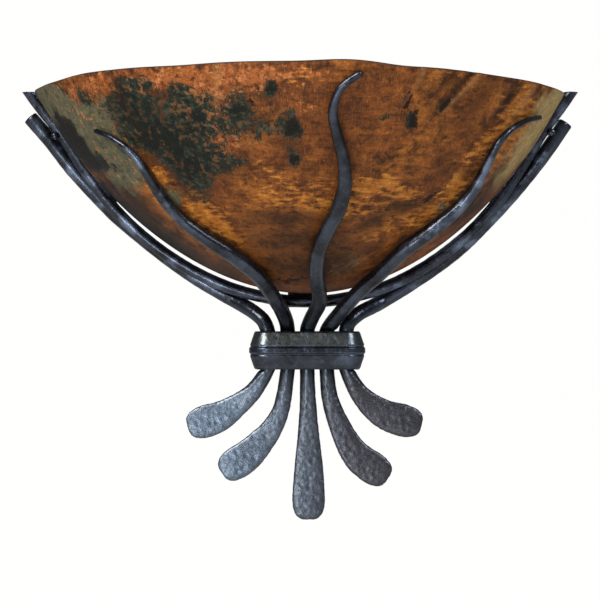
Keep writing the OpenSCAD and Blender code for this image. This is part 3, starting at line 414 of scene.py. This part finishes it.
# Places where a colour gathers, in millimetres on the front view: x, z, half width, half height, turn, weight
PATINA = {
    "verdigris": [
        (-112, 40, 31, 16, -15, 1), (-131, 56, 10, 9, 0, 0.8), (-78, 41, 15, 16, 0, 0.8),
        (-86, 7, 12, 26, 35, 1), (-69, 12, 16, 12, 0, 0.7), (-46, 44, 15, 16, 0, 0.75), (-120, 67, 15, 6, -15, 0.6),
        (-90, 60, 9, 10, 10, 0.55),
        (-28, 33, 10, 9, 0, 0.5), (-21, 60, 7, 7, 0, 0.8), (-6, 33, 10, 10, 0, 0.75),
        (-6, 13, 8, 7, 0, 0.65), (-164, 63, 8, 5, -20, 0.8), (-177, 32, 7, 25, 45, 1.1),
        (-161, 18, 11, 5, -35, 0.9), (-49, 8, 16, 7, 0, 0.6), (81, 38, 4, 6, 0, 0.8),
        (107, 52, 4, 10, -35, 0.6), (76, 53, 2, 10, -25, 0.5), (63, 41, 7, 3, 0, 0.45),
        (-101, 27, 22, 12, -30, 1)],
    "olive": [
        (-208, 72, 12, 7, -55, 1), (-194, 60, 20, 7, -55, 1), (-185, 59, 20, 7, -50, 1), (-157, 40, 23, 17, -45, 1), (-139, 15, 25, 14, -45, 1),
        (-98, -13, 11, 8, -40, 0.7), (108, -20, 8, 5, 20, 0.6), (42, -62, 20, 7, 15, 0.35),
        (7, -70, 31, 9, 0, 0.25)],
    "salmon": [
        (-158, 70, 30, 6, 18, 0.9), (-103, 68, 44, 9, 4, 0.9), (-63, 39, 9, 25, -5, 0.9),
        (-85, 48, 12, 7, 0, 0.7), (-56, 22, 13, 9, 0, 0.7), (-15, 71, 50, 6, 0, 0.6),
        (-37, 66, 17, 14, 0, 0.5), (0, 52, 19, 13, 0, 0.45), (-162, 39, 6, 8, 0, 0.6),
        (-159, 26, 7, 5, 0, 0.7)],
    # Bright copper, and the band where a reflection is painted in
    "gold_and_reflection": [
        (-106, 2, 6, 8, 0, 1), (-73, -26, 17, 9, -35, 1), (-53, -41, 15, 6, -35, 0.9),
        (-124, -7, 17, 7, -30, 0.9), (-105, -26, 11, 5, -45, 0.7), (-26, 5, 10, 9, 0, 0.4),
        (0, -8, 25, 8, 0, 0.5), (-15, -17, 20, 5, 0, 0.5), (51, -7, 12, 7, 0, 0.9),
        (75, -9, 17, 7, -10, 0.7), (26, -23, 30, 7, 0, 0.7), (72, -27, 18, 7, 15, 0.8),
        (55, -40, 21, 5, 20, 0.8), (100, -25, 17, 5, 35, 0.9), (118, -5, 14, 6, 40, 0.8),
        (144, 30, 7, 30, -40, 0.7), (167, 57, 11, 9, 0, 0.8), (111, 73, 10, 4, 0, 0.4),
        (168, 40, 10, 22, -35, 0.9), (148, 14, 6, 25, -40, 0.8),
        (0, 68, 10, 6, 0, 0.5)],
    # Dark brown towards the bottom and the lower left edge, and painted shadow in the strips beside the right finger
    # and arm
    "umber_and_shadow": [
        (-12, -30, 38, 7, 0, 0.7), (0, -46, 46, 8, 0, 0.7), (80, -21, 17, 6, 10, 0.8),
        (57, -34, 15, 6, 25, 0.8), (0, -65, 47, 11, 0, 0.7), (31, -62, 16, 11, 0, 0.5),
        (130, 6, 11, 5, 35, 0.6), (109, 13, 12, 6, 35, 0.5), (-120, -31, 13, 34, 45, 1), (-148, -8, 8, 20, 45, 0.9),
        (-134, -9, 7, 17, 45, 0.7), (-92, -51, 7, 27, 50, 0.8), (-57, -71, 10, 19, 60, 0.7),
        (134, 57, 7, 25, -35, 0.5), (161, 11, 5, 27, -42, 0.8), (134, -22, 5, 24, -48, 0.8),
        (22, 31, 22, 25, 0, 0.35)],
    # Painted reflection along the right edge of the sheet
    "tan": [
        (205, 70, 9, 16, -35, 1), (192, 53, 9, 19, -35, 1), (179, 31, 8, 21, -38, 0.9),
        (161, 9, 6, 19, -42, 0.6)],
    # Near-black: the deepest patina spots and darker places along the left edge, and painted shadow in the fold grooves
    # and beside the right finger and arm
    "dark_spots_and_shadow": [
        (-180, 38, 7, 17, 38, 1), (-170, 22, 5, 12, 50, 1), (-186, 50, 3, 9, 25, 0.8), (-150, 14, 4, 9, 60, 0.6),
        (79, 50, 1.8, 7, -30, 0.9), (84, 39, 3.5, 5, 0, 0.9), (107, 51, 2.4, 9, -35, 1), (-21, 60, 6, 6, 0, 0.8),
        (-6, 13, 6, 5, 0, 0.7), (-6, 33, 8, 8, 0, 0.7), (-34, 50, 6, 8, 20, 0.6), (-130, -33, 10, 27, 47, 1),
        (-99, -54, 7, 20, 52, 1), (-157, -6, 6, 18, 45, 0.9), (119, 47, 1.6, 8, -35, 0.5),
        (63, -24, 16, 2.5, 12, 0.5), (101, -12, 14, 2.5, 30, 0.55), (180, 12, 4, 26, -40, 0.9),
        (128, -20, 3, 24, -48, 0.7), (0, -76, 40, 5, 0, 0.5)],
}


def gathered(rows, x, z):
    """How strongly a colour lies at a place: overlapping soft ovals."""
    left = 1.0
    for cx, cz, wide, high, turn, weight in rows:
        a = math.radians(turn)
        dx, dz = x - cx, z - cz
        along = (dx * math.cos(a) + dz * math.sin(a)) / wide
        across = (dz * math.cos(a) - dx * math.sin(a)) / high
        reach = along * along + across * across
        if reach < 7.0:
            left *= 1.0 - min(0.98, weight * math.exp(-0.8 * reach))
    return 1.0 - left


def paint_patina(piece, rim_below):
    """Stores one painted mask per colour, some of them painted reflection and shadow, one for the dark cut edge of
    the rim, and the folds' heights, for painted light and shade on the folds.
    """
    mesh = piece.data
    spots = []
    for vertex in mesh.vertices:
        place = vertex.co / MM
        drift = noise.noise_vector(place / 14.0) * 4.0
        spots.append((place.x + drift.x, place.z + drift.z))
    for name, rows in PATINA.items():
        layer = mesh.attributes.new(name, "FLOAT", "POINT")
        layer.data.foreach_set("value", [gathered(rows, x, z) for x, z in spots])
    layer = mesh.attributes.new("rim_edge", "FLOAT", "POINT")
    layer.data.foreach_set("value", [1.0 if below < 0.9 else 0.0 for below in rim_below])
    # The folds' heights, for painted shade in their grooves and painted highlight on their ridges
    layer = mesh.attributes.new("fold_light_and_shade", "FLOAT", "POINT")
    layer.data.foreach_set("value", [fold_height(vertex.co.x / MM, vertex.co.z / MM) for vertex in mesh.vertices])


def rim_heights(mesh, centre_y):
    """The height of the rim, by degree of azimuth."""
    tops = {}
    for vertex in mesh.vertices:
        degree = round(math.degrees(math.atan2(vertex.co.x, centre_y - vertex.co.y)))
        tops[degree] = max(tops.get(degree, -1.0), vertex.co.z)
    return tops


# Folds of the hand-formed sheet near the rim: x and z of both ends, half width and height out of the sheet
FOLDS = [
    (133, 76, 101, 41, 2.2, 0.9), (127, 74, 96, 44, 2.6, -0.9), (112, 74, 84, 38, 3.5, -0.5),
    (92, 78, 80, 52, 3.0, 0.4), (163, 68, 128, 22, 4.0, -0.6), (176, 66, 150, 30, 3.0, 0.5),
    (-140, 74, -120, 30, 4.0, -0.5), (-60, 78, -62, 30, 4.0, 0.4),
]


def fold_height(x, z):
    """How far the sheet stands out of its smooth form at a place, in millimetres."""
    total = 0.0
    for x0, z0, x1, z1, half, high in FOLDS:
        dx, dz = x1 - x0, z1 - z0
        length = math.hypot(dx, dz)
        along = ((x - x0) * dx + (z - z0) * dz) / length
        across = ((x - x0) * dz - (z - z0) * dx) / length
        fade = min(1.0, max(0.0, 1.15 - along / length)) if along > -6.0 else 0.0
        total += high * fade * math.exp(-(across / half) ** 2)
    return total


def unwrap_sheet(mesh, centre_y):
    """A UV map that follows the sheet: around the bowl, and down from the rim, in decimetres."""
    layer = mesh.uv_layers.new(name="sheet")
    radius = 2.16
    flat = []
    for loop in mesh.loops:
        place = mesh.vertices[loop.vertex_index].co
        azimuth = math.atan2(place.x, centre_y - place.y)
        flat.extend((azimuth * radius, place.z / (100 * MM)))
    layer.data.foreach_set("uv", flat)


def make_shade():
    low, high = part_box("shade")
    centre_y = high.y
    piece = copy_node("shade", "copper_shade")
    mesh = piece.data
    edges = bmesh.new()
    edges.from_mesh(mesh)
    crease = edges.edges.layers.float.new("crease_edge")
    for edge in edges.edges:
        if len(edge.link_faces) == 2 and edge.calc_face_angle(0.0) > math.radians(50):
            edge[crease] = 0.9
    edges.to_mesh(mesh)
    edges.free()
    apply_modifier(piece, "SUBSURF", levels=3, render_levels=3)
    mesh = piece.data
    tops = rim_heights(mesh, centre_y)
    below = []
    for vertex in mesh.vertices:
        place = vertex.co / MM
        degree = round(math.degrees(math.atan2(vertex.co.x, centre_y - vertex.co.y)))
        below.append((tops[degree] - vertex.co.z) / MM)
        outward = Vector((vertex.co.x, vertex.co.y - centre_y, 0.0))
        if outward.length < 0.02:
            continue
        outward.normalize()
        dents = 0.5 + 0.5 * noise.noise(place / 34.0) + 0.25 * noise.noise(place / 9.0)
        ends = min(1.0, max(0.0, (centre_y - vertex.co.y) / 0.02))
        move = (fold_height(place.x, place.z) - 0.05 - 0.5 * dents) * ends
        vertex.co += outward * move * MM
    paint_patina(piece, below)
    unwrap_sheet(mesh, centre_y)
    smooth(piece, 50)
    hand_over(piece, COPPER, "copper", "shade", "shade")


make_shade()


# Ties, wall fixing, lampholders and lamps, copied from their solids; the flat-faced ones get eased edges

def machined(node, name, material, slot, bevel=0.35, angle=30):
    """A solid with its flat faces cleaned and its edges eased."""
    piece = copy_node(node, name)
    select_only(piece)
    bpy.ops.object.mode_set(mode="EDIT")
    bpy.ops.mesh.select_all(action="SELECT")
    bpy.ops.mesh.dissolve_limited(angle_limit=math.radians(0.5))
    bpy.ops.object.mode_set(mode="OBJECT")
    if bevel:
        apply_modifier(piece, "BEVEL", width=bevel * MM, segments=2, limit_method="ANGLE",
                       angle_limit=math.radians(angle), use_clamp_overlap=True)
    smooth(piece, 40)
    hand_over(piece, material, slot, body_of_node(node), node)
    return piece


def round_part(node, name, material, slot):
    """A turned, moulded or blown solid, merged and shaded smooth."""
    piece = copy_node(node, name)
    smooth(piece, 32)
    hand_over(piece, material, slot, body_of_node(node), node)
    return piece


def ribbed_connectors():
    """The two twist-on connectors, with moulded grip ribs around their middle."""
    low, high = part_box("wire_nuts")
    middle = (low.x + high.x) / 2
    half_height = (high.z - low.z) / 2
    piece = copy_node("wire_nuts", "twist_on_connectors")
    apply_modifier(piece, "REMESH", mode="VOXEL", voxel_size=0.4 * MM)
    apply_modifier(piece, "SMOOTH", factor=0.5, iterations=2)
    for side in (-1, 1):
        ring = [vertex for vertex in piece.data.vertices if (vertex.co.x - middle) * side > 0]
        centre = sum((vertex.co for vertex in ring), Vector()) / len(ring)
        for vertex in ring:
            out = Vector((vertex.co.x - centre.x, vertex.co.y - centre.y, 0.0))
            if out.length < 1.5 * MM:
                continue
            angle = math.atan2(out.y, out.x)
            level = abs(vertex.co.z - (low.z + high.z) / 2) / half_height
            fade = min(1.0, max(0.0, (0.8 - level) / 0.15))
            depth = 0.35 * (0.5 + 0.5 * math.cos(14 * angle)) * fade
            vertex.co -= out.normalized() * depth * MM
    smooth(piece, 45)
    hand_over(piece, NYLON, "connector", body_of_node("wire_nuts"), "wire_nuts")


for node in ("cross_bar_left", "cross_bar_right", "back_spine"):
    machined(node, "flat_" + node, IRON, "iron", 0.6)
machined("wall_pan", "pressed_wall_pan", ZINC, "zinc_steel", 0.3)
machined("mounting_strap", "slotted_strap", ZINC, "zinc_steel", 0.2)
machined("lamp_bracket", "bent_lamp_bracket", ZINC, "zinc_steel", 0.3)
machined("pan_studs", "steel_studs", ZINC, "zinc_steel", 0.2)
machined("cap_nuts", "brass_cap_nuts", BRASS, "brass", 0.15)
machined("ground_screw", "green_ground_screw", GREEN, "green_steel", 0.15)
machined("bracket_locknuts", "brass_bracket_locknuts", BRASS, "brass", 0.2)
machined("holder_locknuts", "brass_holder_locknuts", BRASS, "brass", 0.2)
round_part("bracket_nipple", "brass_bracket_nipple", BRASS, "brass")
round_part("holder_nipples", "brass_holder_nipples", BRASS, "brass")
ribbed_connectors()
for side in ("left", "right"):
    round_part("holder_" + side, "phenolic_holder_" + side, PHENOLIC, "phenolic")
    round_part("screw_shell_" + side, "brass_shell_" + side, BRASS, "brass")
    round_part("centre_contact_" + side, "brass_contact_" + side, BRASS, "brass")
    round_part("lamp_tip_" + side, "tinned_tip_" + side, TINNED, "lamp_metal")
    round_part("lamp_cap_" + side, "pressed_cap_" + side, CAP_BRASS, "lamp_cap")
    round_part("lamp_glass_" + side, "frosted_bulb_" + side, FROSTED, "frosted_glass")
    round_part("lamp_stem_" + side, "glass_stem_" + side, CLEAR, "clear_glass")
    round_part("lamp_filament_" + side, "coiled_filament_" + side, TINNED, "lamp_metal")
    round_part("lead_" + side, "insulated_lead_" + side, INSULATION, "lead_insulation")


# Stage, light and camera

def stage_material():
    """Pale matt floor that looks white to the camera and keeps a faint shadow."""
    material, tree, shader = start_material("pale_floor")
    place = add(tree, "TexCoord").outputs["Object"]
    mottle = add(tree, "TexNoise", {"Vector": place, "Scale": 3.0, "Detail": 3.0})
    colour = add(tree, "Mix", {0: mottle.outputs[0], 6: linear("#f2f1ee"), 7: linear("#f7f6f3")},
                 data_type="RGBA")
    tree.links.new(colour.outputs[2], shader.inputs["Base Color"])
    shader.inputs["Roughness"].default_value = 0.9
    rays = add(tree, "LightPath")
    glow = add(tree, "Emission", {"Color": (1.0, 0.995, 0.985, 1.0), "Strength": 1.07})
    share = add(tree, "Math", {0: rays.outputs["Is Camera Ray"], 1: 0.93}, operation="MULTIPLY")
    both = add(tree, "MixShader", {0: share.outputs[0], 1: shader.outputs[0], 2: glow.outputs[0]})
    out = [n for n in tree.nodes if n.type == "OUTPUT_MATERIAL"][0]
    tree.links.new(both.outputs[0], out.inputs["Surface"])
    return material


bpy.ops.object.select_all(action="DESELECT")
bpy.ops.mesh.primitive_circle_add(vertices=96, radius=9.0, fill_type="NGON", location=(0, 0, -0.62))
floor = bpy.context.object
floor.name = "pale_floor"
floor.data.materials.append(stage_material())

world = bpy.data.worlds.new("soft_room")
world.use_nodes = True
scene.world = world
sky = world.node_tree
sky.nodes.clear()
rays = add(sky, "LightPath")
seen = add(sky, "Math", {0: rays.outputs["Is Camera Ray"], 1: rays.outputs["Is Transmission Ray"]},
           operation="MAXIMUM")
room = add(sky, "Background", {"Color": (0.94, 0.96, 1.0, 1.0), "Strength": 0.15})
white = add(sky, "Background", {"Color": (1.0, 0.995, 0.985, 1.0), "Strength": 1.0})
mixed = add(sky, "MixShader", {0: seen.outputs[0], 1: room.outputs[0], 2: white.outputs[0]})
add(sky, "OutputWorld", {"Surface": mixed.outputs[0]})


def softbox(name, place, aim, size, power, colour):
    lamp = bpy.data.lights.new(name, "AREA")
    lamp.shape = "DISK"
    lamp.size = size
    lamp.energy = power
    lamp.color = colour
    holder = bpy.data.objects.new(name, lamp)
    holder.location = place
    holder.rotation_euler = (Vector(aim) - Vector(place)).to_track_quat("-Z", "Y").to_euler()
    scene.collection.objects.link(holder)


softbox("key_light", (-1.1, -1.7, 1.0), (0, -0.1, -0.05), 0.8, 42.0, (1.0, 0.97, 0.92))
softbox("right_light", (1.3, -1.5, 1.0), (0, -0.1, -0.05), 0.8, 22.0, (0.84, 0.91, 1.0))
softbox("front_light", (-0.5, -1.75, -0.45), (0, -0.1, -0.08), 0.45, 8.0, (0.84, 0.91, 1.0))

# The photograph's view: from 1.9 m in front of the wall, a little below the shade, tilted up slightly
eye = bpy.data.cameras.new("photo_view")
eye.sensor_width = 36.0
eye.lens = 138.44
camera = bpy.data.objects.new("photo_view", eye)
camera.location = (0.0, -1.9, -0.112)
camera.rotation_euler = (math.radians(90.0 + 0.6456), 0.0, 0.0)
scene.collection.objects.link(camera)
scene.camera = camera
scene.view_settings.view_transform = "Standard"
